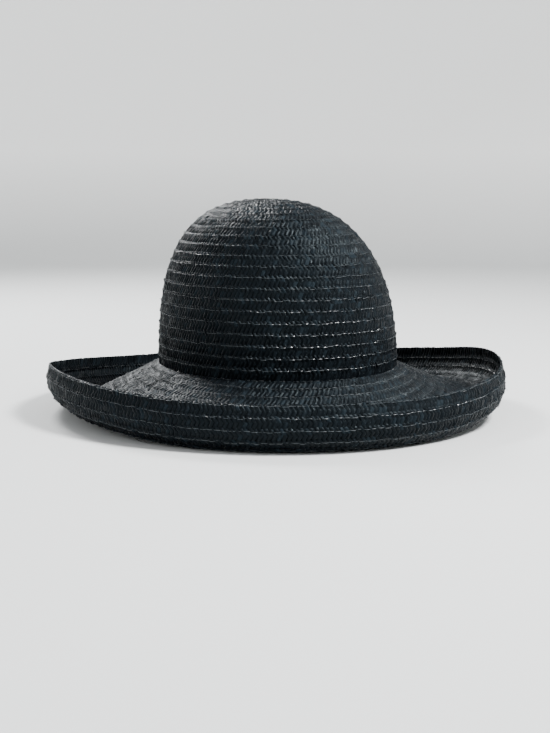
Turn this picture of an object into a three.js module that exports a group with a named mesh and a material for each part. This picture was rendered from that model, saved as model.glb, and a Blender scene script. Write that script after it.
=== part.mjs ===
// Wide-brim straw hat of sewn braid: a domed crown, a brim rolled up all round and a sweatband.
// Millimetres, +Z up. The hat rests crown up on the fold of its brim, and its front faces -Y.
// Its shapes are worked out in a frame whose z = 0 is the head line, where crown and brim meet.
import * as THREE from "three";

// Driving dimensions
const HEAD_WIDTH = 168; // outside of the crown at the head line, side to side
const HEAD_LENGTH = 204; // outside of the crown at the head line, front to back
const HEAD_LINE_HEIGHT = 33; // head line above the surface that the fold rests on
const CROWN_HEIGHT = 118; // head line to the tip of the crown
const CROWN_FULLNESS = 2.5; // 2 is a half round dome, more is squarer
const CROWN_LEAN_SIDE = -9; // the tip off the middle of the head line, towards +X
const CROWN_LEAN_BACK = -6; // and towards +Y
const BRIM_WIDTH = 106.4; // along the straw, from the head line to the edge
const ROW_PITCH = 7.6; // part of one row of braid that shows
const ROW_STEP = 0.7; // one row's edge above the row beside it
const LAP_RUN = 0.5; // width of the step from row to row
const STRAW_WALL = 2.2; // two laps of braid
const SWEATBAND_HEIGHT = 32;
const SWEATBAND_WALL = 1.2;
const CLEARANCE = 0.3; // between neighbouring pieces
const REST_PRESS = 0.8; // how far the fold is flattened where it rests

// How finely the surfaces are divided
const BRIM_COLUMNS = 56;
const CROWN_COLUMNS = 44;
const BAND_COLUMNS = 44;
const INNER_RINGS = 9; // rings down the inside of the crown
const BAND_RINGS = 3;
const ROW_SAMPLES = 8; // steps a row when the brim's curve is summed
const DOME_SAMPLES = 600;
const SOLVE_STEPS = 40;

// Sections of the brim, round from the front towards +X.
// angle: degrees from the front. lift: rise of the fold off the surface, a share of HEAD_LINE_HEIGHT.
// roll: middle of the upward roll, a share of BRIM_WIDTH. edge: degrees that the edge heads for, past level.
const BRIM_SECTIONS = [
  { angle: 0, lift: 0.0, roll: 0.715, edge: 119 },
  { angle: 30, lift: 0.01, roll: 0.715, edge: 118 },
  { angle: 60, lift: 0.17, roll: 0.735, edge: 117 },
  { angle: 90, lift: 0.32, roll: 0.755, edge: 116 },
  { angle: 120, lift: 0.18, roll: 0.785, edge: 117 },
  { angle: 150, lift: 0.01, roll: 0.81, edge: 119 },
  { angle: 180, lift: 0.0, roll: 0.82, edge: 120 },
  { angle: 210, lift: 0.01, roll: 0.815, edge: 120 },
  { angle: 240, lift: 0.14, roll: 0.795, edge: 119 },
  { angle: 270, lift: 0.26, roll: 0.765, edge: 118 },
  { angle: 300, lift: 0.15, roll: 0.74, edge: 118 },
  { angle: 330, lift: 0.01, roll: 0.72, edge: 119 },
];
const ROLL_LENGTH = 0.61; // length of the roll, a share of BRIM_WIDTH
const STEEPEST_FALL = 70; // degrees

const HALF_WIDTH = HEAD_WIDTH / 2;
const HALF_LENGTH = HEAD_LENGTH / 2;
const OVAL_EXTRA = HALF_LENGTH - HALF_WIDTH; // every oval of the crown is this much longer than wide
const FLOOR = -HEAD_LINE_HEIGHT;

const radians = THREE.MathUtils.degToRad;

// Unit vector out of the head line's oval at an angle from the front, and the oval's point there
function ovalPoint(angle, halfWidth, halfLength) {
  return new THREE.Vector2(halfWidth * Math.sin(angle), -halfLength * Math.cos(angle));
}

function ovalNormal(angle) {
  return new THREE.Vector2(Math.sin(angle) / HALF_WIDTH, -Math.cos(angle) / HALF_LENGTH).normalize();
}

// Smooth periodic value of one named column of the brim's sections
function sectionValue(angle, column) {
  const count = BRIM_SECTIONS.length;
  const place = ((angle / (2 * Math.PI)) * count + count) % count;
  const first = Math.floor(place);
  const t = place - first;
  const at = (step) => BRIM_SECTIONS[(first + step + count) % count][column];
  const [before, start, end, after] = [at(-1), at(0), at(1), at(2)];
  const leave = (end - before) / 2;
  const arrive = (after - start) / 2;
  const bend = 2 * (start - end) + leave + arrive;
  const rise = 3 * (end - start) - 2 * leave - arrive;
  return ((bend * t + rise) * t + leave) * t + start;
}

// Curve of the brim's underside in one section: out from the head line, down, and up through the roll
function brimCurve(section, fall) {
  const steps = Math.round(BRIM_WIDTH / ROW_PITCH) * ROW_SAMPLES;
  const length = BRIM_WIDTH / steps;
  const curve = [{ along: 0, out: 0, up: 0, slope: -fall }];
  for (let i = 1; i <= steps; i += 1) {
    const middle = (i - 0.5) / steps;
    const [rollStart, rollEnd] = [section.roll - ROLL_LENGTH / 2, section.roll + ROLL_LENGTH / 2];
    const rolled = THREE.MathUtils.smoothstep(middle, rollStart, rollEnd);
    const slope = -fall + (section.edge + fall) * rolled;
    const last = curve[i - 1];
    curve.push({
      along: i * length,
      out: last.out + Math.cos(radians(slope)) * length,
      up: last.up + Math.sin(radians(slope)) * length,
      slope,
    });
  }
  return curve;
}

// The fall of the brim is solved, so that its fold comes down to the height that the section asks for
function solvedCurve(section) {
  let low = 0;
  let high = STEEPEST_FALL;
  for (let i = 0; i < SOLVE_STEPS; i += 1) {
    const middle = (low + high) / 2;
    const lowest = Math.min(...brimCurve(section, middle).map((point) => point.up));
    if (lowest > section.foldHeight) {
      low = middle;
    } else {
      high = middle;
    }
  }
  return brimCurve(section, low);
}

// Point of a curve at a length along it, moved off it by a distance up and inwards
function alongCurve(curve, along, lift) {
  const length = curve[1].along;
  const place = THREE.MathUtils.clamp(along / length, 0, curve.length - 1 - 1e-9);
  const first = Math.floor(place);
  const [start, end] = [curve[first], curve[first + 1]];
  const t = place - first;
  const slope = radians(THREE.MathUtils.lerp(start.slope, end.slope, t));
  return {
    out: THREE.MathUtils.lerp(start.out, end.out, t) - Math.sin(slope) * lift,
    up: THREE.MathUtils.lerp(start.up, end.up, t) + Math.cos(slope) * lift,
  };
}

// Closed solid from rings of points. Rings run round the hat, and points run round the wall's outline.
function ringSolid(columns) {
  const count = columns[0].length;
  const positions = columns.flat().flatMap((point) => [point.x, point.y, point.z]);
  const faces = [];
  columns.forEach((column, i) => {
    const next = (i + 1) % columns.length;
    for (let j = 0; j < count; j += 1) {
      const [a, b] = [i * count + j, i * count + ((j + 1) % count)];
      const [c, d] = [next * count + ((j + 1) % count), next * count + j];
      faces.push(a, c, b, a, d, c);
    }
  });
  return solidGeometry(positions, faces);
}

function solidGeometry(positions, faces) {
  const geometry = new THREE.BufferGeometry();
  geometry.setAttribute("position", new THREE.Float32BufferAttribute(positions, 3));
  geometry.setIndex(faces);
  geometry.computeVertexNormals();
  return geometry;
}

// Columns of points, evenly spaced by angle
function turned(columnCount, makeColumn) {
  return Array.from({ length: columnCount }, (_, i) => makeColumn((2 * Math.PI * i) / columnCount));
}

// Edges of the rows over a length: where each row starts and ends, a step's width apart
function rowEdges(length) {
  const rows = Math.max(2, Math.round(length / ROW_PITCH));
  const pitch = length / rows;
  return Array.from({ length: rows }, (_, row) => ({
    start: row * pitch + (row > 0 ? LAP_RUN / 2 : 0),
    end: (row + 1) * pitch - (row < rows - 1 ? LAP_RUN / 2 : 0),
  }));
}

// Brim: rows lap outwards on the underside, so each row's outer edge stands down from the next row
function brimColumn(angle) {
  const section = {
    roll: sectionValue(angle, "roll"),
    edge: sectionValue(angle, "edge"),
    foldHeight: FLOOR * (1 - sectionValue(angle, "lift")) - REST_PRESS,
  };
  const curve = solvedCurve(section);
  const rows = rowEdges(BRIM_WIDTH);
  const root = ovalPoint(angle, HALF_WIDTH, HALF_LENGTH);
  const outward = ovalNormal(angle);
  const place = (along, lift, lowest) => {
    const point = alongCurve(curve, along, lift);
    const reach = CLEARANCE + Math.max(point.out, 0);
    return new THREE.Vector3(
      root.x + outward.x * reach,
      root.y + outward.y * reach,
      Math.max(point.up, lowest),
    );
  };
  const under = rows.flatMap((row) => [place(row.start, 0, FLOOR), place(row.end, -ROW_STEP, FLOOR)]);
  const thinnest = FLOOR + STRAW_WALL - ROW_STEP;
  const over = rows.flatMap((row) => [
    place(row.start, STRAW_WALL, thinnest),
    place(row.end, STRAW_WALL - ROW_STEP, thinnest),
  ]);
  return [...under, ...over.reverse()];
}

// Dome of the crown, seen from the side: half width and height from the head line up to the tip
function domeCurve() {
  const points = [];
  for (let i = 0; i <= DOME_SAMPLES; i += 1) {
    const turn = (Math.PI / 2) * (i / DOME_SAMPLES);
    const point = {
      half: HALF_WIDTH * Math.max(Math.cos(turn), 0) ** (2 / CROWN_FULLNESS),
      up: CROWN_HEIGHT * Math.sin(turn) ** (2 / CROWN_FULLNESS),
      along: 0,
    };
    if (i > 0) {
      const last = points[i - 1];
      point.along = last.along + Math.hypot(point.half - last.half, point.up - last.up);
    }
    points.push(point);
  }
  return points;
}

// Point of the dome at a length along it, moved outwards by a distance
function onDome(dome, along, outwards) {
  const last = dome.length - 1;
  const found = dome.findIndex((point) => point.along >= along);
  const i = THREE.MathUtils.clamp(found < 0 ? last : found, 1, last);
  const [start, end] = [dome[i - 1], dome[i]];
  const length = end.along - start.along;
  const t = THREE.MathUtils.clamp((along - start.along) / length, 0, 1);
  return {
    half: THREE.MathUtils.lerp(start.half, end.half, t) + (outwards * (end.up - start.up)) / length,
    up: THREE.MathUtils.lerp(start.up, end.up, t) + (outwards * (start.half - end.half)) / length,
  };
}

// Point on an oval of the crown. The ovals move over with the square of their height, as the crown leans.
function ovalRing(point, angle) {
  const half = Math.max(point.half, 0);
  const place = ovalPoint(angle, half, half + OVAL_EXTRA).add(crownLean(point.up));
  return new THREE.Vector3(place.x, place.y, point.up);
}

function crownLean(up) {
  return new THREE.Vector2(CROWN_LEAN_SIDE, CROWN_LEAN_BACK).multiplyScalar((up / CROWN_HEIGHT) ** 2);
}

// Crown: one closed shell, with rows stepped on the outside and a plain inside
function crownGeometry() {
  const dome = domeCurve();
  const length = dome[dome.length - 1].along;
  const rows = rowEdges(length);
  rows[rows.length - 1].end -= LAP_RUN;
  const outside = rows.flatMap((row) => [onDome(dome, row.start, 0), onDome(dome, row.end, ROW_STEP)]);
  const insideLength = length - rows[0].end;
  const inside = Array.from({ length: INNER_RINGS }, (_, i) =>
    onDome(dome, (insideLength * i) / (INNER_RINGS - 1), -STRAW_WALL));
  inside[0].up = 0;
  const profile = [...inside.reverse(), ...outside];
  const columns = turned(CROWN_COLUMNS, (angle) => profile.map((point) => ovalRing(point, angle)));
  const count = profile.length;
  const positions = columns.flat().flatMap((point) => [point.x, point.y, point.z]);
  for (const { up } of [profile[0], profile[count - 1]]) {
    const tip = crownLean(up);
    positions.push(tip.x, tip.y, up);
  }
  const [innerTip, outerTip] = [positions.length / 3 - 2, positions.length / 3 - 1];
  const faces = [];
  columns.forEach((column, i) => {
    const next = (i + 1) % columns.length;
    for (let j = 0; j < count - 1; j += 1) {
      const [a, b] = [i * count + j, i * count + j + 1];
      const [c, d] = [next * count + j + 1, next * count + j];
      faces.push(a, c, b, a, d, c);
    }
    faces.push(innerTip, next * count, i * count);
    faces.push(outerTip, i * count + count - 1, next * count + count - 1);
  });
  return solidGeometry(positions, faces);
}

// Sweatband: a smooth strip inside the foot of the crown
function sweatbandColumn(angle) {
  const dome = domeCurve();
  const stations = Array.from({ length: BAND_RINGS }, (_, i) => (SWEATBAND_HEIGHT * i) / (BAND_RINGS - 1));
  const backOff = STRAW_WALL + CLEARANCE;
  const back = stations.map((along) => onDome(dome, along, -backOff));
  const face = stations.map((along) => onDome(dome, along, -backOff - SWEATBAND_WALL));
  back[0].up = 0;
  face[0].up = 0;
  return [...back, ...face.reverse()].map((point) => ovalRing(point, angle));
}

function piece(name, geometry, color, roughness) {
  const material = new THREE.MeshStandardMaterial({ color, roughness, metalness: 0 });
  const mesh = new THREE.Mesh(geometry, material);
  mesh.name = name;
  return mesh;
}

const hat = new THREE.Group();
hat.add(piece("crown", crownGeometry(), "#17191c", 0.5));
hat.add(piece("brim", ringSolid(turned(BRIM_COLUMNS, brimColumn)), "#15171a", 0.5));
hat.add(piece("sweatband", ringSolid(turned(BAND_COLUMNS, sweatbandColumn)), "#10131b", 0.9));

// The origin is on the surface below the middle of the hat
const bounds = new THREE.Box3().setFromObject(hat);
const middle = bounds.getCenter(new THREE.Vector3());
hat.position.set(-middle.x, -middle.y, -bounds.min.z);

export default hat;
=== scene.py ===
"""A wide-brim hat of black sewn straw braid, resting crown up on the fold of its rolled brim."""

import math

import bmesh
import bpy
import numpy as np
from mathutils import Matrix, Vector


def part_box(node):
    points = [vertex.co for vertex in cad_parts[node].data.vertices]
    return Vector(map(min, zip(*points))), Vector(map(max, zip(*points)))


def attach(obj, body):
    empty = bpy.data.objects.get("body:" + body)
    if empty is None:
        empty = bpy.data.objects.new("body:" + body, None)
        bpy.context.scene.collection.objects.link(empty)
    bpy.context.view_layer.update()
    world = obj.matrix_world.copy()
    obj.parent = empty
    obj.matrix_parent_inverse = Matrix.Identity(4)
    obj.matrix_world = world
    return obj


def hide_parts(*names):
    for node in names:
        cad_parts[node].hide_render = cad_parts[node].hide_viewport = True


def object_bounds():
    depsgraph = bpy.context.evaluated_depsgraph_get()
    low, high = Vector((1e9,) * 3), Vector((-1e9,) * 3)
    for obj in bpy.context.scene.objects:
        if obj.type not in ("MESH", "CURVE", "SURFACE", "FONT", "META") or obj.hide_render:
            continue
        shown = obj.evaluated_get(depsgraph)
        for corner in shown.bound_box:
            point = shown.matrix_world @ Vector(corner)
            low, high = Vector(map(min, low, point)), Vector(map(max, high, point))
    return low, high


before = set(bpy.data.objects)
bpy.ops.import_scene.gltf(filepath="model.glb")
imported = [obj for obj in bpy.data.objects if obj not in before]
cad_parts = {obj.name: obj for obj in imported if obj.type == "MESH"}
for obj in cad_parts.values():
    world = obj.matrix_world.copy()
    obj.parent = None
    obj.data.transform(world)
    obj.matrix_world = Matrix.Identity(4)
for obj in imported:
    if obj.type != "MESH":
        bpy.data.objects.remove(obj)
CAD_LOW, CAD_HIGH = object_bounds()

# Lengths are in millimetres until a mesh is finished, in a frame whose z = 0 is the head line,
# where crown and brim meet. Angles go round the hat from its front, -Y, towards +X.
MM = 0.001
RNG = np.random.default_rng(7)

# The hat as a whole
HEAD_LINE_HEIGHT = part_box("crown")[0].z / MM
HALF_WIDTH = 84.0  # of the crown at the head line
HALF_LENGTH = 102.0
OVAL_EXTRA = HALF_LENGTH - HALF_WIDTH
CROWN_HEIGHT = 118.0
CROWN_FULLNESS = 2.5  # power of the crown's section: 2 gives an ellipse, more a squarer shoulder
CROWN_LEAN = np.array([-9.0, -6.0])  # of the crown's tip, sideways and forwards
BRIM_WIDTH = 106.4  # along its section
CLEARANCE = 0.3  # between the brim's start and the head line
ROLL_LENGTH = 0.61  # share of the brim's width that the roll takes
STEEPEST_FALL = 70.0  # degrees below level
REST_PRESS = 0.8  # how far the fold is pressed flat by the hat's weight
PRESS_SHARPNESS = 2.4  # how suddenly the straw flattens, for each millimetre

# Sections of the brim: lift of the fold as a share of HEAD_LINE_HEIGHT, middle of the roll as a
# share of BRIM_WIDTH, and the slope that the edge heads for, in degrees.
BRIM_SECTIONS = [
    {"angle": 0, "lift": 0.0, "roll": 0.715, "edge": 119},
    {"angle": 30, "lift": 0.01, "roll": 0.715, "edge": 118},
    {"angle": 60, "lift": 0.17, "roll": 0.735, "edge": 117},
    {"angle": 90, "lift": 0.32, "roll": 0.755, "edge": 116},
    {"angle": 120, "lift": 0.18, "roll": 0.785, "edge": 117},
    {"angle": 150, "lift": 0.01, "roll": 0.81, "edge": 119},
    {"angle": 180, "lift": 0.0, "roll": 0.82, "edge": 120},
    {"angle": 210, "lift": 0.01, "roll": 0.815, "edge": 120},
    {"angle": 240, "lift": 0.14, "roll": 0.795, "edge": 119},
    {"angle": 270, "lift": 0.26, "roll": 0.765, "edge": 118},
    {"angle": 300, "lift": 0.15, "roll": 0.74, "edge": 118},
    {"angle": 330, "lift": 0.01, "roll": 0.72, "edge": 119},
]

# Rows of braid, and how they are sewn over each other
ROW_PITCH = 7.6
LAP = 2.8  # how far one row goes under the next
HEAD_SEAM = 2.5  # how far the brim's first row goes into the crown's foot
BRIM_LAYERS = (1.55, 0.5)  # middle of a row at its inner and outer edge, off the brim's underside
CROWN_LAYERS = (0.15, -0.8)  # middle of a row at its upper and lower edge, out from the crown's face
TIP_CLOSURE = 1.8  # how far the crown's last row runs on past the middle of the tip, to close it
FOOT_DEPTH = 1.2  # how far the crown's first row goes down past the head line

# The braid: a flat plait whose splints show as two columns of leaves that meet in the middle
BRAID_THICKNESS = 1.0
LEAF_PITCH = 3.0  # along the braid
LEAF_RELIEF = 0.56
LEAF_SLANT = 1.0  # how far a leaf runs on from the middle to the edge, in leaves
EDGE_SCALLOP = 0.3

# Stations along a leaf: the gap that it rises from, and the bow of the splint
LEAF_STATIONS = [
    {"place": 0.0, "height": -0.9},
    {"place": 0.2, "height": 0.1},
    {"place": 0.42, "height": 0.9},
    {"place": 0.62, "height": 1.0},
    {"place": 0.84, "height": 0.25},
]

# Corners of a braid's outline, in order round it: across from -1 to 1, the face that it is on, which
# of that face's two splints it belongs to, how far back the splint has run there, its share of the
# splint's bow, and its place in the pattern. Each face has both splints in the part that its
# neighbour leaves bare, and a plain slope in the part that its neighbour covers.
BRAID_OUTLINE = [
    {"across": -1.0, "face": 0, "splint": 0, "back": 0.7, "bow": 0.5, "pattern": 0.0},
    {"across": -0.8, "face": 1, "splint": 0, "back": 0.5, "bow": 1.0, "pattern": 0.4},
    {"across": -0.42, "face": 1, "splint": 0, "back": 0.14, "bow": 0.55, "pattern": 0.9},
    {"across": -0.1, "face": 1, "splint": 1, "back": 0.12, "bow": 0.55, "pattern": 1.1},
    {"across": 0.36, "face": 1, "splint": 1, "back": 0.5, "bow": 1.0, "pattern": 1.6},
    {"across": 1.0, "face": 0, "splint": 1, "back": 0.7, "bow": 0.5, "pattern": 2.0},
    {"across": 0.8, "face": -1, "splint": 1, "back": 0.5, "bow": 1.0, "pattern": 2.4},
    {"across": 0.42, "face": -1, "splint": 1, "back": 0.14, "bow": 0.55, "pattern": 2.9},
    {"across": 0.1, "face": -1, "splint": 0, "back": 0.12, "bow": 0.55, "pattern": 3.1},
    {"across": -0.36, "face": -1, "splint": 0, "back": 0.5, "bow": 1.0, "pattern": 3.6},
    {"across": -1.0, "face": 0, "splint": 0, "back": 0.7, "bow": 0.5, "pattern": 4.0},
]
PATTERN_PER_ROW = 8  # sets the rows apart in the pattern, so that no two share a leaf

# How unlike each other the leaves are. The spreads of height, tilt and pitch are shares of the relief.
HEIGHT_SPREAD = 0.32
TILT_SPREAD = 0.9  # of the lean across the row
TILT_LINE = 0.3  # how far back the splint has run where that lean leaves it level
PITCH_SPREAD = 1.3  # of the lean along the row
PITCH_LINE = 0.5  # the place along the leaf where that lean leaves it level
STRAY_SPREAD = 0.2  # across the row, in millimetres

# A row wavers from its line in three waves of 2 to 8 a turn, each half as high as the one before
WAVER_HEIGHT = 0.22
WAVER_COUNTS = (2, 9)
WAVER_PARTS = 3

# Stitches: clear nylon thread, one line a row
STITCH_PITCH = 4.6
STITCH_SHARE = 0.15  # of a row's width, in from its edge
STITCH_LIE = 0.6  # of the leaves' relief, where the thread lies
STITCH_SPREAD = 0.24  # how far a stitch strays across the row, and up or down
THREAD_RADIUS = 0.16
THREAD_SIDES = 3
STITCH_STATIONS = [
    {"place": 0.0, "height": -0.55},
    {"place": 0.2, "height": 0.12},
    {"place": 0.5, "height": 0.2},
    {"place": 0.8, "height": 0.12},
]

# Strands that have worked out of the braid: the ranges that each is drawn from
FIBRE_LENGTH = (2.5, 8.0)
FIBRE_RADIUS = (0.09, 0.16)
FIBRE_STAND = (0.5, 2.4)  # how far it stands off the braid
FIBRE_ALONG = (0.03, 0.97)  # where it starts, as a share of the section
FIBRE_DRIFT = (-0.5, 0.5)  # how far it runs off its row, in lengths
FIBRE_ARCH = 2.2  # radians of the sine curve that it rises and falls along
FIBRE_STEPS = 6

# The sweatband: its outline by height along the crown and depth in from the crown's outer face
BAND_OUTLINE = [
    {"height": 32.0, "depth": 2.6},
    {"height": 24.0, "depth": 2.55},
    {"height": 12.0, "depth": 2.5},
    {"height": 4.0, "depth": 2.5},
    {"height": 0.4, "depth": 2.45},
    {"height": -1.5, "depth": 2.3},
    {"height": -1.9, "depth": 1.6},
    {"height": -2.4, "depth": 1.2},
    {"height": -3.0, "depth": 1.6},
    {"height": -3.2, "depth": 2.6},
    {"height": -2.6, "depth": 3.4},
    {"height": -0.5, "depth": 3.8},
    {"height": 4.0, "depth": 3.7},
    {"height": 12.0, "depth": 3.7},
    {"height": 24.0, "depth": 3.65},
    {"height": 31.4, "depth": 3.6},
    {"height": 32.4, "depth": 3.1},
]
BAND_HEIGHT = 32
BAND_COLUMNS = 360
BAND_PATTERN = 200  # length of the ribbon in its pattern, once round

# Waves of the ribbon's upper edge, which stands a little slack of the straw
BAND_WAVES = [
    {"depth": 0.35, "count": 7, "start": 0.6},
    {"depth": 0.2, "count": 17, "start": 0.0},
]
BAND_TIGHTEST = -0.05  # how far a wave may press the ribbon towards the straw

# Accuracy of the tables and meshes
TABLE_ANGLES = 720
TABLE_STEPS = 112
SOLVE_STEPS = 40
DOME_SAMPLES = 2000
SLOPE_STEP = 0.4  # each way, over which the crown's slope is measured
MERGE_DISTANCE = 1e-7  # metres
SHARP_ANGLE = 58  # degrees


def linear(hex_colour):
    """sRGB hex to the linear colour that a shader takes."""
    channels = [int(hex_colour[i : i + 2], 16) / 255 for i in (1, 3, 5)]
    return [c / 12.92 if c <= 0.04045 else ((c + 0.055) / 1.055) ** 2.4 for c in channels] + [1.0]


def column_of(rows, name):
    return np.array([row[name] for row in rows])


# Shape of the brim


def section_values(angle, name):
    """One column of the sections at any angles, as a smooth closed curve."""
    values = column_of(BRIM_SECTIONS, name)
    count = len(values)
    place = (angle / (2 * np.pi) * count) % count
    first = np.floor(place).astype(int)
    t = place - first
    before, start, end, after = (values[(first + step) % count] for step in (-1, 0, 1, 2))
    leave, arrive = (end - before) / 2, (after - start) / 2
    bend = 2 * (start - end) + leave + arrive
    rise = 3 * (end - start) - 2 * leave - arrive
    return ((bend * t + rise) * t + leave) * t + start


def brim_curves(angles, fall):
    """Reach, height and slope of the underside at each angle, from the head line to the edge."""
    roll = section_values(angles, "roll")[:, None]
    edge = section_values(angles, "edge")[:, None]
    share = (np.arange(TABLE_STEPS) + 0.5) / TABLE_STEPS
    t = np.clip((share - roll) / ROLL_LENGTH + 0.5, 0, 1)
    slope = np.radians(-fall[:, None] + (edge + fall[:, None]) * t * t * (3 - 2 * t))
    step = BRIM_WIDTH / TABLE_STEPS
    start = np.zeros((len(angles), 1))
    reach = np.hstack([start, np.cumsum(np.cos(slope) * step, axis=1)])
    height = np.hstack([start, np.cumsum(np.sin(slope) * step, axis=1)])
    return reach, height, np.hstack([np.radians(-fall[:, None]), slope])


def solved_brim():
    """The fall at each angle is solved so that the fold comes down to where it rests."""
    angles = np.linspace(0, 2 * np.pi, TABLE_ANGLES, endpoint=False)
    wanted = -HEAD_LINE_HEIGHT * (1 - section_values(angles, "lift")) - REST_PRESS
    low, high = np.zeros(TABLE_ANGLES), np.full(TABLE_ANGLES, STEEPEST_FALL)
    for _ in range(SOLVE_STEPS):
        middle = (low + high) / 2
        above = brim_curves(angles, middle)[1].min(axis=1) > wanted
        low, high = np.where(above, middle, low), np.where(above, high, middle)
    return np.stack(brim_curves(angles, low), axis=-1)


BRIM_TABLE = solved_brim()


def brim_place(angle, along, offset):
    """Points of the brim at angles and lengths from the head line, off its underside by offset."""
    a = (angle / (2 * np.pi) * TABLE_ANGLES) % TABLE_ANGLES
    s = np.clip(along / BRIM_WIDTH * TABLE_STEPS, 0, TABLE_STEPS - 1e-6)
    i, j = np.floor(a).astype(int), np.floor(s).astype(int)
    ta, ts = (a - i)[..., None], (s - j)[..., None]
    k = (i + 1) % TABLE_ANGLES
    near = BRIM_TABLE[i % TABLE_ANGLES, j] * (1 - ts) + BRIM_TABLE[i % TABLE_ANGLES, j + 1] * ts
    far = BRIM_TABLE[k, j] * (1 - ts) + BRIM_TABLE[k, j + 1] * ts
    reach, height, slope = np.moveaxis(near * (1 - ta) + far * ta, -1, 0)
    out = CLEARANCE + np.maximum(reach - np.sin(slope) * offset, 0) + np.minimum(along, 0)
    up = height + np.cos(slope) * offset
    sine, cosine = np.sin(angle), np.cos(angle)
    normal = np.stack([sine / HALF_WIDTH, -cosine / HALF_LENGTH], axis=-1)
    normal /= np.linalg.norm(normal, axis=-1, keepdims=True)
    x = HALF_WIDTH * sine + normal[..., 0] * out
    y = -HALF_LENGTH * cosine + normal[..., 1] * out
    return np.stack([x, y, pressed(up)], axis=-1)


def pressed(up):
    """Heights eased off the surface that the hat rests on, so that the straw flattens there."""
    clear = (up + HEAD_LINE_HEIGHT) * PRESS_SHARPNESS
    return np.logaddexp(0, clear) / PRESS_SHARPNESS - HEAD_LINE_HEIGHT


# Shape of the crown


def dome_table():
    """Length along the crown's section from the head line to the tip, its half width and height."""
    turn = np.linspace(0, np.pi / 2, DOME_SAMPLES)
    half = HALF_WIDTH * np.clip(np.cos(turn), 0, 1) ** (2 / CROWN_FULLNESS)
    up = CROWN_HEIGHT * np.sin(turn) ** (2 / CROWN_FULLNESS)
    along = np.concatenate([[0], np.cumsum(np.hypot(np.diff(half), np.diff(up)))])
    return along, half, up


DOME_ALONG, DOME_HALF, DOME_UP = dome_table()
DOME_LENGTH = DOME_ALONG[-1]


def crown_place(angle, along, offset):
    """Points of the crown at angles and lengths up from the head line, out from its face by offset."""
    inside = np.clip(along, 0, DOME_LENGTH)

    def at(length):
        length = np.clip(length, 0, DOME_LENGTH)
        return np.interp(length, DOME_ALONG, DOME_HALF), np.interp(length, DOME_ALONG, DOME_UP)

    half_low, up_low = at(inside - SLOPE_STEP)
    half_high, up_high = at(inside + SLOPE_STEP)
    run, rise = half_low - half_high, up_high - up_low
    size = np.hypot(run, rise)
    half, up = at(inside)
    half = np.maximum(half + offset * rise / size, 0)
    up = up + offset * run / size + np.minimum(along, 0)
    lean = (np.maximum(up, 0) / CROWN_HEIGHT) ** 2
    x = half * np.sin(angle) + lean * CROWN_LEAN[0]
    y = -(half + OVAL_EXTRA) * np.cos(angle) + lean * CROWN_LEAN[1]
    return np.stack([x, y, up], axis=-1)


def head_middle():
    """Where the middle of the head line lies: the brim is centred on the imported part."""
    angles = np.linspace(0, 2 * np.pi, TABLE_ANGLES, endpoint=False)
    lengths = np.linspace(0, BRIM_WIDTH, TABLE_STEPS)
    outline = np.concatenate([brim_place(angles, np.full(TABLE_ANGLES, s), 0.0) for s in lengths])
    middle = (outline.min(axis=0) + outline.max(axis=0)) / 2
    return np.array([-middle[0], -middle[1], HEAD_LINE_HEIGHT])


HEAD_MIDDLE = head_middle()


# Meshes


def ring_steps(place, along, offset):
    """Angles round a ring of the hat, and the lengths of the steps between them."""
    angles = np.linspace(0, 2 * np.pi, TABLE_ANGLES + 1)
    line = place(angles, np.full_like(angles, along), np.full_like(angles, offset))
    return angles, np.linalg.norm(np.diff(line, axis=0), axis=1)


def ring_length(place, along, offset):
    return ring_steps(place, along, offset)[1].sum()


def even_angles(place, along, offset, count, shift):
    """Angles that lie evenly along a ring, at places counted in shares of its length."""
    angles, steps = ring_steps(place, along, offset)
    length = np.concatenate([[0], np.cumsum(steps)])
    return lambda places: np.interp((places + shift) % count, length / length[-1] * count, angles)


def add_ring(bm, columns, around, shape):
    """Adds a closed ring to bm: a grid of columns by around cells, whose ends and sides meet.
    shape takes each corner's column and side, and gives its points and its pattern coordinates."""
    part = bmesh.new()
    part.loops.layers.uv.new("plait")
    bmesh.ops.create_grid(part, x_segments=columns, y_segments=around, size=1.0, calc_uvs=False)
    corners = np.array([vert.co[:2] for vert in part.verts])
    column = np.rint((corners[:, 0] + 1) / 2 * columns)
    side = np.rint((corners[:, 1] + 1) / 2 * around)
    points, pattern = shape(column, side)
    points = (points + HEAD_MIDDLE) * MM
    for vert, point in zip(part.verts, points):
        vert.co = point
    layer = part.loops.layers.uv["plait"]
    part.verts.index_update()
    for face in part.faces:
        for loop in face.loops:
            loop[layer].uv = pattern[loop.vert.index]
    bmesh.ops.remove_doubles(part, verts=part.verts, dist=MERGE_DISTANCE)
    mesh = bpy.data.meshes.new("ring")
    part.to_mesh(mesh)
    part.free()
    bm.from_mesh(mesh)
    bpy.data.meshes.remove(mesh)


def new_object(bm, name, material):
    """Makes bm a smooth shaded object."""
    mesh = bpy.data.meshes.new(name)
    bm.to_mesh(mesh)
    bm.free()
    mesh.polygons.foreach_set("use_smooth", [True] * len(mesh.polygons))
    mesh.materials.append(material)
    piece = bpy.data.objects.new(name, mesh)
    bpy.context.collection.objects.link(piece)
    return piece


def finished(bm, name, material, node=None):
    """Makes bm a piece that rides on the hat, in place of a CAD node if one is named."""
    bmesh.ops.recalc_face_normals(bm, faces=bm.faces)
    piece = new_object(bm, name, material)
    piece.data.set_sharp_from_angle(angle=math.radians(SHARP_ANGLE))
    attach(piece, "root")
    if node:
        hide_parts(node)


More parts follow.
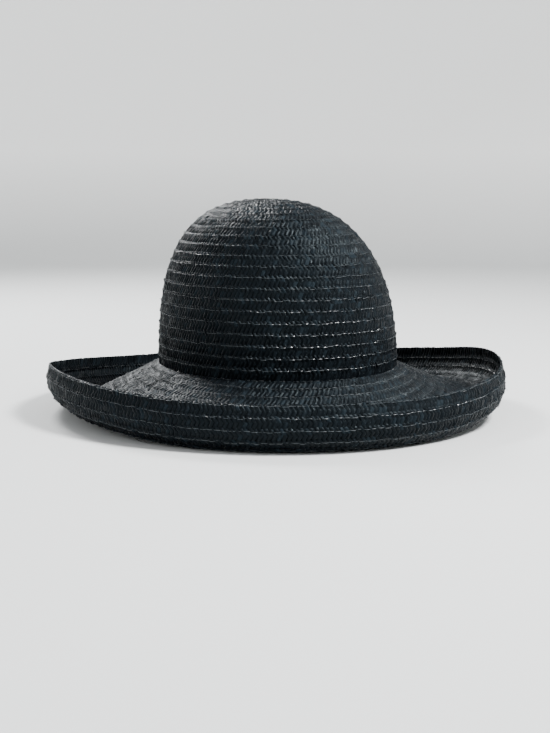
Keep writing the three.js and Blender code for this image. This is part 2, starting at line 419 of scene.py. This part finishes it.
def plait_row(bm, place, start, end, offsets, row):
    """One row of braid from start to end along the hat's section, tilted between two offsets."""
    middle_along, middle_offset = (start + end) / 2, sum(offsets) / 2
    leaves = round(ring_length(place, middle_along, middle_offset) / LEAF_PITCH)
    angles = even_angles(place, middle_along, middle_offset, leaves, RNG.random())
    # one value for each leaf of both faces and both splints
    sizes = 1 + HEIGHT_SPREAD * RNG.standard_normal((2, 2, leaves))
    tilts = TILT_SPREAD * RNG.standard_normal((2, 2, leaves))
    pitches = PITCH_SPREAD * RNG.standard_normal((2, 2, leaves))
    strays = STRAY_SPREAD * RNG.standard_normal((2, 2, leaves))
    waver = [
        (RNG.integers(*WAVER_COUNTS), RNG.random() * 2 * np.pi, WAVER_HEIGHT / 2**k)
        for k in range(WAVER_PARTS)
    ]
    count = len(LEAF_STATIONS)
    half = count // 2
    places, heights = column_of(LEAF_STATIONS, "place"), column_of(LEAF_STATIONS, "height")

    def shape(column, side):
        across, face, splint, back, bow, in_pattern = (
            column_of(BRAID_OUTLINE, name)[side.astype(int)]
            for name in ("across", "face", "splint", "back", "bow", "pattern")
        )
        # the second splint's leaves start halfway along the first one's
        leaf, station = np.divmod(column.astype(int) + splint * half, count)
        along = leaf + places[station] - splint * places[half] - LEAF_SLANT * back
        which = ((face > 0).astype(int), splint, leaf % leaves)
        sway = tilts[which] * (back - TILT_LINE) + pitches[which] * (places[station] - PITCH_LINE)
        rise = heights[station] * bow * sizes[which] + sway * (face != 0) * (station > 0)
        angle = angles(along)
        share = (across + 1) / 2
        ripple = sum(height * np.sin(waves * angle + first) for waves, first, height in waver)
        edge = (face == 0) * across * EDGE_SCALLOP * heights[station]
        lift = face * BRAID_THICKNESS / 2 + np.where(face < 0, -rise, rise) * LEAF_RELIEF
        where = start + (end - start) * share + ripple + strays[which] + np.sign(end - start) * edge
        offset = offsets[0] + (offsets[1] - offsets[0]) * share + lift
        pattern = np.stack([leaf + station / count, in_pattern + PATTERN_PER_ROW * row], axis=-1)
        return place(angle, where, offset), pattern

    add_ring(bm, leaves * count, len(BRAID_OUTLINE) - 1, shape)


def stitch_row(bm, place, along, offset, face, row):
    """A closed line of thread that comes up for each stitch and goes down into the braid between."""
    stitches = round(ring_length(place, along, offset) / STITCH_PITCH)
    angles = even_angles(place, along, offset, stitches, RNG.random())
    drift = STITCH_SPREAD * RNG.standard_normal((2, stitches))
    count = len(STITCH_STATIONS)
    places, heights = column_of(STITCH_STATIONS, "place"), column_of(STITCH_STATIONS, "height")

    def shape(column, side):
        stitch, station = np.divmod(column.astype(int), count)
        rise = heights[station]
        turn = side * 2 * np.pi / THREAD_SIDES
        where = along + np.cos(turn) * THREAD_RADIUS + drift[0][stitch % stitches]
        rise = rise + drift[1][stitch % stitches] * (rise > 0)
        lift = offset + face * (rise + np.sin(turn) * THREAD_RADIUS)
        points = place(angles(stitch + places[station]), where, lift)
        return points, np.stack([column / count, side + PATTERN_PER_ROW * row], axis=-1)

    add_ring(bm, stitches * count, THREAD_SIDES, shape)


def row_count(length):
    return max(2, round(length / ROW_PITCH))


def brim_row(row):
    """Inner and outer edge of a row of the brim, as lengths from the head line."""
    pitch = BRIM_WIDTH / row_count(BRIM_WIDTH)
    return row * pitch - LAP if row else -HEAD_SEAM, (row + 1) * pitch


def crown_row(row):
    """Upper and lower edge of a row of the crown, as lengths up from the head line."""
    pitch = DOME_LENGTH / row_count(DOME_LENGTH)
    return min((row + 1) * pitch + LAP, DOME_LENGTH + TIP_CLOSURE), row * pitch if row else -FOOT_DEPTH


def braid_brim(rows, name, material):
    """Rows of the brim: each row's inner edge lies on top of the row before it."""
    bm = bmesh.new()
    for row in rows:
        plait_row(bm, brim_place, *brim_row(row), BRIM_LAYERS, row)
    finished(bm, name, material, "brim")


def braid_crown(rows, name, material):
    """Rows of the crown: each row's upper edge lies on top of the row above it."""
    bm = bmesh.new()
    for row in rows:
        plait_row(bm, crown_place, *crown_row(row), CROWN_LAYERS, row)
    finished(bm, name, material, "crown")


def stitch_brim(material):
    """Both faces show a line of stitches, each near the edge that lies outermost there."""
    inner_layer, outer_layer = BRIM_LAYERS
    surface = BRAID_THICKNESS / 2 + LEAF_RELIEF * STITCH_LIE
    sink = (inner_layer - outer_layer) * STITCH_SHARE
    bm = bmesh.new()
    for row in range(row_count(BRIM_WIDTH)):
        inner, outer = brim_row(row)
        inset = (outer - inner) * STITCH_SHARE
        stitch_row(bm, brim_place, inner + inset, inner_layer - sink + surface, 1, row)
        stitch_row(bm, brim_place, outer - inset, outer_layer + sink - surface, -1, row)
    finished(bm, "brim_stitches", material)


def stitch_crown(material):
    """A line of stitches near the upper edge of each row, on the crown's outside."""
    upper_layer, lower_layer = CROWN_LAYERS
    middle = upper_layer + (lower_layer - upper_layer) * STITCH_SHARE
    surface = middle + BRAID_THICKNESS / 2 + LEAF_RELIEF * STITCH_LIE
    bm = bmesh.new()
    for row in range(row_count(DOME_LENGTH) - 1):
        upper, lower = crown_row(row)
        stitch_row(bm, crown_place, upper + (lower - upper) * STITCH_SHARE, surface, 1, row)
    finished(bm, "crown_stitches", material)


def sweatband(material):
    """The ribbon inside the head line, turned over the straw's edge at its foot."""
    outline = BAND_OUTLINE + BAND_OUTLINE[:1]
    heights, depths = column_of(outline, "height"), column_of(outline, "depth")
    bm = bmesh.new()

    def shape(column, side):
        angle = column / BAND_COLUMNS * 2 * np.pi
        height, depth = heights[side.astype(int)], depths[side.astype(int)]
        waves = sum(wave["depth"] * np.sin(wave["count"] * angle + wave["start"]) for wave in BAND_WAVES)
        slack = np.clip(height / BAND_HEIGHT, 0, 1) * waves
        points = crown_place(angle, height, -(depth + np.maximum(slack, BAND_TIGHTEST)))
        pattern = [column / BAND_COLUMNS * BAND_PATTERN, side / len(BAND_OUTLINE)]
        return points, np.stack(pattern, axis=-1)

    add_ring(bm, BAND_COLUMNS, len(BAND_OUTLINE), shape)
    finished(bm, "sweatband_ribbon", material, "sweatband")


# Where the strands are: longest is how far along the section they may start
FIBRE_SPOTS = [
    {
        "place": brim_place,
        "count": 34,
        "longest": BRIM_WIDTH,
        "offset": BRIM_LAYERS[0] + BRAID_THICKNESS / 2,
        "face": 1,
    },
    {"place": brim_place, "count": 44, "longest": BRIM_WIDTH, "offset": -0.4, "face": -1},
    {"place": crown_place, "count": 36, "longest": DOME_LENGTH * 0.85, "offset": 0.3, "face": 1},
]


def loose_fibres(material):
    """Split ends and lint: short strands that have worked out of the braid."""
    bm = bmesh.new()
    for spot in FIBRE_SPOTS:
        for _ in range(spot["count"]):
            add_fibre(bm, spot)
    finished(bm, "loose_fibres", material)


def add_fibre(bm, spot):
    """One strand, an arch that tapers to nothing at both ends."""
    place = spot["place"]
    length = RNG.uniform(*FIBRE_LENGTH)
    radius = RNG.uniform(*FIBRE_RADIUS)
    stand = RNG.uniform(*FIBRE_STAND)
    first = RNG.uniform(0, 2 * np.pi)
    along = RNG.uniform(*FIBRE_ALONG) * spot["longest"]
    run = length / ring_length(place, along, 0) * 2 * np.pi * RNG.choice([-1, 1])
    drift = length * RNG.uniform(*FIBRE_DRIFT)

    def shape(column, side):
        t = column / FIBRE_STEPS
        thick = radius * np.sin(np.pi * np.clip(t, 0, 1)) ** 0.5
        turn = side * 2 * np.pi / THREAD_SIDES
        where = along + drift * t**2 + thick * np.cos(turn)
        lift = spot["offset"] + spot["face"] * (stand * np.sin(FIBRE_ARCH * t) + thick * np.sin(turn))
        return place(first + run * t, where, lift), np.stack([t, side], axis=-1)

    add_ring(bm, FIBRE_STEPS, THREAD_SIDES, shape)


# Materials


def add_node(tree, kind, settings=None, **links):
    """Adds a node, sets its properties, and links or sets its inputs by name, or by number as _0."""
    node = tree.nodes.new(kind)
    for key, value in (settings or {}).items():
        setattr(node, key, value)
    for key, value in links.items():
        socket = node.inputs[int(key[1:])] if key[0] == "_" else node.inputs[key.replace("_", " ")]
        if isinstance(value, bpy.types.NodeSocket):
            tree.links.new(value, socket)
        else:
            socket.default_value = value
    return node


def new_material(name):
    material = bpy.data.materials.new(name)
    material.use_nodes = True
    return material, material.node_tree, material.node_tree.nodes["Principled BSDF"]


def dyed_straw():
    """Black dyed wheat straw, split and plaited: satin splints that glint where they bow up."""
    material, tree, shader = new_material("dyed wheat straw braid")
    shader.inputs["IOR"].default_value = 1.54
    shader.inputs["Specular IOR Level"].default_value = 0.125
    shader.inputs["Specular Tint"].default_value = linear("#c8dde6")
    plait = add_node(tree, "ShaderNodeUVMap", {"uv_map": "plait"})
    # each leaf took the dye a little differently
    leaf = add_node(tree, "ShaderNodeVectorMath", {"operation": "FLOOR"}, _0=plait.outputs[0])
    chance = add_node(tree, "ShaderNodeTexWhiteNoise", {"noise_dimensions": "2D"}, Vector=leaf.outputs[0])
    split = add_node(tree, "ShaderNodeSeparateColor", None, Color=chance.outputs["Color"])
    tint = add_node(tree, "ShaderNodeValToRGB", None, Fac=chance.outputs["Value"])
    darkest, usual = tint.color_ramp.elements
    darkest.position, darkest.color = 0.0, linear("#010204")
    usual.position, usual.color = 0.85, linear("#03060a")
    palest = tint.color_ramp.elements.new(0.97)
    palest.color = linear("#0e151a")
    tree.links.new(tint.outputs["Color"], shader.inputs["Base Color"])
    # where a leaf goes under the next it keeps its dull, fibrous end
    across = add_node(tree, "ShaderNodeSeparateXYZ", None, Vector=plait.outputs[0])
    bow = add_node(tree, "ShaderNodeMath", {"operation": "PINGPONG"}, _0=across.outputs["X"], _1=0.5)
    gloss = add_node(tree, "ShaderNodeMapRange", None, Value=split.outputs["Red"], To_Min=0.32, To_Max=0.62)
    dull = add_node(
        tree,
        "ShaderNodeMapRange",
        None,
        Value=bow.outputs[0],
        From_Min=0.02,
        From_Max=0.2,
        To_Min=0.95,
        To_Max=gloss.outputs[0],
    )
    tree.links.new(dull.outputs[0], shader.inputs["Roughness"])
    # fibres along a splint, so across the braid: drawn 0.6 mm apart, coarser than the real 0.1 mm,
    # so that they show
    stretch = add_node(
        tree, "ShaderNodeVectorMath", {"operation": "MULTIPLY"}, _0=plait.outputs[0], _1=(5.0, 0.5, 1.0)
    )
    grain = add_node(tree, "ShaderNodeTexNoise", None, Vector=stretch.outputs[0], Scale=1.0, Detail=3.0)
    # small dents about 1 mm wide
    place = add_node(tree, "ShaderNodeTexCoord")
    dents = add_node(
        tree, "ShaderNodeTexNoise", None, Vector=place.outputs["Object"], Scale=900.0, Detail=2.0
    )
    rough = add_node(tree, "ShaderNodeMath", {"operation": "ADD"}, _0=grain.outputs[0], _1=dents.outputs[0])
    bump = add_node(tree, "ShaderNodeBump", None, Strength=0.7, Distance=0.0004, Height=rough.outputs[0])
    tree.links.new(bump.outputs[0], shader.inputs["Normal"])
    return material


def nylon_thread():
    """Clear nylon sewing thread: it takes the straw's colour and shows by its glints."""
    material, tree, shader = new_material("clear nylon sewing thread")
    shader.inputs["Base Color"].default_value = linear("#262d31")
    shader.inputs["IOR"].default_value = 1.53
    plait = add_node(tree, "ShaderNodeUVMap", {"uv_map": "plait"})
    stitch = add_node(tree, "ShaderNodeVectorMath", {"operation": "FLOOR"}, _0=plait.outputs[0])
    chance = add_node(tree, "ShaderNodeTexWhiteNoise", {"noise_dimensions": "2D"}, Vector=stitch.outputs[0])
    gloss = add_node(
        tree, "ShaderNodeMapRange", None, Value=chance.outputs["Value"], To_Min=0.22, To_Max=0.7
    )
    tree.links.new(gloss.outputs[0], shader.inputs["Roughness"])
    return material


def grosgrain():
    """Woven ribbon, matt, with a rib across it: drawn 1.5 mm apart, coarser than the real 1 mm."""
    material, tree, shader = new_material("navy black grosgrain ribbon")
    shader.inputs["Base Color"].default_value = linear("#080a10")
    shader.inputs["Roughness"].default_value = 0.8
    shader.inputs["Specular IOR Level"].default_value = 0.25
    shader.inputs["Sheen Weight"].default_value = 0.08
    plait = add_node(tree, "ShaderNodeUVMap", {"uv_map": "plait"})
    rib = add_node(tree, "ShaderNodeTexWave", {"bands_direction": "X"}, Vector=plait.outputs[0], Scale=0.6)
    bump = add_node(tree, "ShaderNodeBump", None, Strength=0.3, Distance=0.0003, Height=rib.outputs["Fac"])
    tree.links.new(bump.outputs[0], shader.inputs["Normal"])
    return material


def studio_paper():
    """Matt sheet of paper, grey under the hat and painted white up the wall as painted light, since the
    wall gets less light.
    """
    material, tree, shader = new_material("matt studio paper")
    place = add_node(tree, "ShaderNodeTexCoord")
    height = add_node(tree, "ShaderNodeSeparateXYZ", None, Vector=place.outputs["Object"])
    # painted light: the grey paper turns white up the wall, to stand in for the light that the wall lacks
    painted_light_ramp = add_node(tree, "ShaderNodeValToRGB", None, Fac=height.outputs["Z"])
    floor, wall = painted_light_ramp.color_ramp.elements
    floor.position, floor.color = 0.0, linear("#c2c4c4")
    wall.position, wall.color = 0.25, linear("#fafbfa")
    tree.links.new(painted_light_ramp.outputs["Color"], shader.inputs["Base Color"])
    shader.inputs["Roughness"].default_value = 0.9
    return material


straw = dyed_straw()
thread = nylon_thread()
braid_brim(range(0, 6), "brim_braid_inner", straw)
braid_brim(range(6, 10), "brim_braid_fold", straw)
braid_brim(range(10, row_count(BRIM_WIDTH)), "brim_braid_roll", straw)
stitch_brim(thread)
braid_crown(range(0, 10), "crown_braid_side", straw)
braid_crown(range(10, row_count(DOME_LENGTH)), "crown_braid_top", straw)
stitch_crown(thread)
sweatband(grosgrain())
loose_fibres(straw)


# Stage, in metres

SWEEP_RADIUS = 2.4
SWEEP_BEND = 0.6
SWEEP_HEIGHT = 1.3
SWEEP_BEND_STEPS = 12
SWEEP_SIDES = 96
SWEEP_MERGE = 1e-5

# Lamps: square soft boxes, with their power in watts
LAMPS = [
    {"name": "key", "place": (0.65, -0.6, 1.15), "size": 0.34, "power": 64},
    {"name": "back", "place": (-0.4, 1.0, 1.0), "size": 0.42, "power": 36},
    {"name": "fill", "place": (-1.2, -1.1, 0.9), "size": 0.7, "power": 4},
]
LAMP_TARGET = Vector((0, 0, 0.08))

IMAGE_HEIGHT = 733  # rows of the picture, which is upright, so that its height sets the lens
HAT_CENTRE_ROW = 304  # of the picture, where the middle of the hat stands
FOCAL_PIXELS = 1310
SENSOR_SIZE = 36.0  # millimetres
CAMERA_SIDE = 12.0  # degrees to the viewer's left of the hat's front
CAMERA_RISE = 5.0  # degrees above the floor
CAMERA_DISTANCE = 0.95


def paper_sweep():
    """A round sheet of pale paper: flat under the hat, bent up into a wall well outside the view."""
    profile = [(0.0, 0.0)]
    for step in range(SWEEP_BEND_STEPS + 1):
        bend = math.radians(90 * step / SWEEP_BEND_STEPS)
        reach = SWEEP_RADIUS - SWEEP_BEND * (1 - math.sin(bend))
        profile.append((reach, SWEEP_BEND * (1 - math.cos(bend))))
    profile.append((SWEEP_RADIUS, SWEEP_HEIGHT))
    bm = bmesh.new()
    verts = [bm.verts.new((reach, 0, height)) for reach, height in profile]
    edges = [bm.edges.new(pair) for pair in zip(verts, verts[1:])]
    bmesh.ops.spin(
        bm,
        geom=verts + edges,
        cent=(0, 0, 0),
        axis=(0, 0, 1),
        angle=2 * math.pi,
        steps=SWEEP_SIDES,
        use_merge=True,
    )
    bmesh.ops.remove_doubles(bm, verts=bm.verts, dist=SWEEP_MERGE)
    bmesh.ops.recalc_face_normals(bm, faces=bm.faces)
    bmesh.ops.reverse_faces(bm, faces=bm.faces)
    new_object(bm, "paper_sweep", studio_paper())


def soft_light(name, place, size, power):
    data = bpy.data.lights.new(name, "AREA")
    data.size, data.energy = size, power
    lamp = bpy.data.objects.new(name, data)
    lamp.location = place
    lamp.rotation_euler = (LAMP_TARGET - Vector(place)).to_track_quat("-Z", "Y").to_euler()
    bpy.context.collection.objects.link(lamp)


def studio():
    world = bpy.data.worlds.new("studio")
    world.use_nodes = True
    background = world.node_tree.nodes["Background"]
    background.inputs["Color"].default_value = linear("#f4f5f7")
    background.inputs["Strength"].default_value = 0.85
    bpy.context.scene.world = world
    for lamp in LAMPS:
        soft_light(**lamp)


def camera():
    data = bpy.data.cameras.new("camera")
    data.sensor_width = SENSOR_SIZE
    data.lens = FOCAL_PIXELS / IMAGE_HEIGHT * SENSOR_SIZE
    data.shift_y = -(IMAGE_HEIGHT / 2 - HAT_CENTRE_ROW) / IMAGE_HEIGHT
    eye = bpy.data.objects.new("camera", data)
    side, rise = math.radians(CAMERA_SIDE), math.radians(CAMERA_RISE)
    back = Vector((-math.sin(side) * math.cos(rise), -math.cos(side) * math.cos(rise), math.sin(rise)))
    middle = (CAD_LOW + CAD_HIGH) / 2
    eye.location = middle + back * CAMERA_DISTANCE
    eye.rotation_euler = (-back).to_track_quat("-Z", "Y").to_euler()
    bpy.context.collection.objects.link(eye)
    bpy.context.scene.camera = eye


paper_sweep()
studio()
camera()
